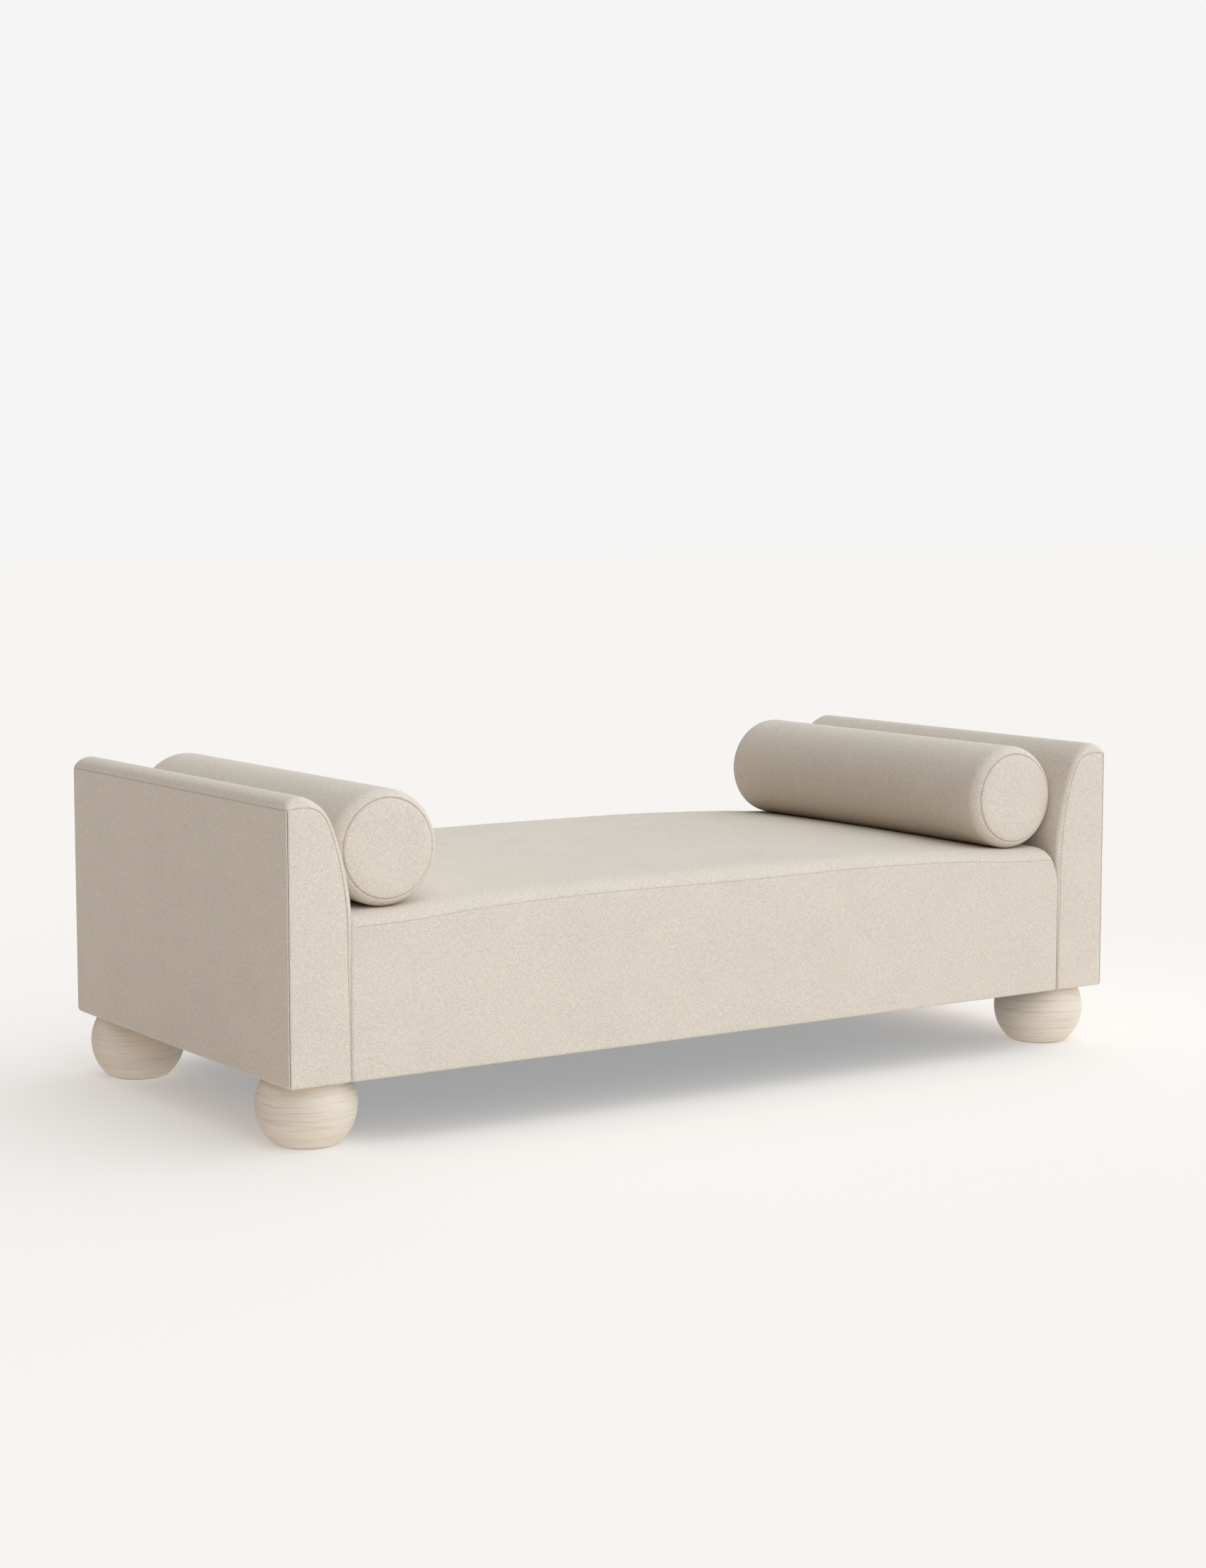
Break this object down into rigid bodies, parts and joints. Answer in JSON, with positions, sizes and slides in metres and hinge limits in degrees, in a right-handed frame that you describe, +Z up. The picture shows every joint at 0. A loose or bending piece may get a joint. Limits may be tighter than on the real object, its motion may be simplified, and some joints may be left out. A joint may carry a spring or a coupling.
{
  "type": "daybed",
  "caption": "Low upholstered daybed with a crowned seat, rolled-over arms at both ends, ball feet of pale wood and loose round bolsters.",
  "frame": {"origin": "on the floor, at the middle of the footprint", "axes": "+X along the length towards the right arm, -Y towards the front, +Z up"},
  "size_m": [2.0474, 0.972, 0.6718],
  "materials": {
    "cover_cloth": "matte",
    "pale_wood": "satin",
    "frame_timber": "matte",
    "plywood": "matte",
    "foam": "matte",
    "wadding": "matte",
    "hessian": "matte",
    "dust_cloth": "matte",
    "felt": "matte",
    "zip_cloth": "matte",
    "spring_steel": "satin",
    "zinc_steel": "satin",
    "slider_metal": "satin"
  },
  "bodies": {
    "frame": {"front_rail": "frame_timber", "back_rail": "frame_timber", "left_end_rail": "frame_timber", "right_end_rail": "frame_timber", "cross_rails": "frame_timber", "corner_blocks": "frame_timber", "left_arm_top_rail": "frame_timber", "left_arm_fixing_rail": "frame_timber", "left_arm_base_rail": "frame_timber", "right_arm_top_rail": "frame_timber", "right_arm_fixing_rail": "frame_timber", "right_arm_base_rail": "frame_timber", "left_arm_front_board": "plywood", "left_arm_back_board": "plywood", "left_arm_outer_board": "plywood", "left_arm_skin_board": "plywood", "right_arm_front_board": "plywood", "right_arm_back_board": "plywood", "right_arm_outer_board": "plywood", "right_arm_skin_board": "plywood", "left_arm_foam": "foam", "right_arm_foam": "foam", "seat_foam": "foam", "seat_wadding": "wadding", "seat_springs": "spring_steel", "spring_clips": "spring_steel", "arm_bolts": "zinc_steel", "foot_bolts": "zinc_steel", "tee_nuts": "zinc_steel", "spring_cover": "hessian", "dust_cover": "dust_cloth", "foot_glides": "felt", "foot_front_left": "pale_wood", "foot_front_right": "pale_wood", "foot_back_left": "pale_wood", "foot_back_right": "pale_wood", "left_arm_end_panel": "cover_cloth", "left_arm_band": "cover_cloth", "left_arm_front_gusset": "cover_cloth", "left_arm_back_gusset": "cover_cloth", "right_arm_end_panel": "cover_cloth", "right_arm_band": "cover_cloth", "right_arm_front_gusset": "cover_cloth", "right_arm_back_gusset": "cover_cloth", "seat_top_panel": "cover_cloth", "seat_front_panel": "cover_cloth", "seat_back_panel": "cover_cloth"},
    "left_bolster": {"left_bolster_core": "foam", "left_bolster_tube": "cover_cloth", "left_bolster_front_disc": "cover_cloth", "left_bolster_back_disc": "cover_cloth", "left_bolster_zip_tape": "zip_cloth"},
    "left_zip_slider": {"left_bolster_zip_slider": "slider_metal"},
    "right_bolster": {"right_bolster_core": "foam", "right_bolster_tube": "cover_cloth", "right_bolster_front_disc": "cover_cloth", "right_bolster_back_disc": "cover_cloth", "right_bolster_zip_tape": "zip_cloth"},
    "right_zip_slider": {"right_bolster_zip_slider": "slider_metal"}
  },
  "joints": [
    {"name": "left_bolster_lift", "type": "slide", "parent": "frame", "child": "left_bolster", "axis": [0, 0, 1], "range_m": [0, 0.35]},
    {"name": "right_bolster_lift", "type": "slide", "parent": "frame", "child": "right_bolster", "axis": [0, 0, 1], "range_m": [0, 0.35]},
    {"name": "left_zip_slide", "type": "slide", "parent": "left_bolster", "child": "left_zip_slider", "axis": [0, -1, 0], "range_m": [0, 0.61]},
    {"name": "right_zip_slide", "type": "slide", "parent": "right_bolster", "child": "right_zip_slider", "axis": [0, -1, 0], "range_m": [0, 0.61]}
  ]
}
